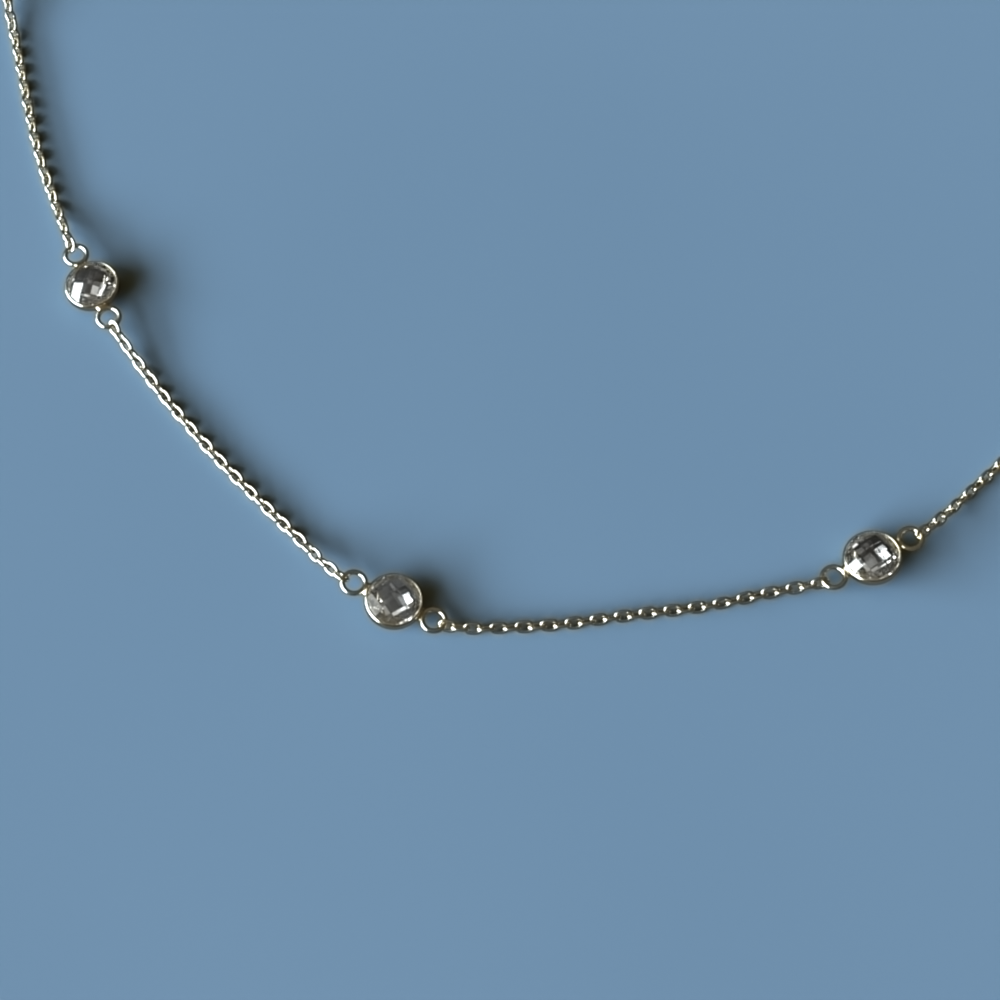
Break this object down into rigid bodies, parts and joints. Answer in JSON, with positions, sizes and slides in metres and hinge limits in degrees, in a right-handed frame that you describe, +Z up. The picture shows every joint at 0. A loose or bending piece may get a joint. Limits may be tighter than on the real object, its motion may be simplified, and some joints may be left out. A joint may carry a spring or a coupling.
{
  "type": "station necklace",
  "caption": "Fine cable chain necklace in gold tone with round bezel-set faceted clear stones as stations, closed by a spring ring clasp, laid flat in an open loop.",
  "frame": {"origin": "on the surface that the necklace lies on, under the middle of its box", "axes": "+Z up from the surface, +Y from the front station towards the back of the loop, +X to the right of the loop"},
  "size_m": [0.1333, 0.1606, 0.003],
  "materials": {
    "setting_gold": "polished pale gold",
    "clear_stone": "clear faceted stone",
    "chain_gold": "polished pale gold",
    "clasp_gold": "polished pale gold"
  },
  "bodies": {
    "root": {"setting_1": "setting_gold", "setting_2": "setting_gold", "setting_3": "setting_gold", "setting_4": "setting_gold", "setting_5": "setting_gold", "setting_6": "setting_gold", "setting_7": "setting_gold", "stone_1": "clear_stone", "stone_2": "clear_stone", "stone_3": "clear_stone", "stone_4": "clear_stone", "stone_5": "clear_stone", "stone_6": "clear_stone", "stone_7": "clear_stone", "chain_1": "chain_gold", "chain_2": "chain_gold", "chain_3": "chain_gold", "chain_4": "chain_gold", "chain_5": "chain_gold", "chain_6": "chain_gold", "chain_7": "chain_gold", "chain_8": "chain_gold", "clasp": "clasp_gold", "end_ring": "clasp_gold"}
  },
  "joints": []
}
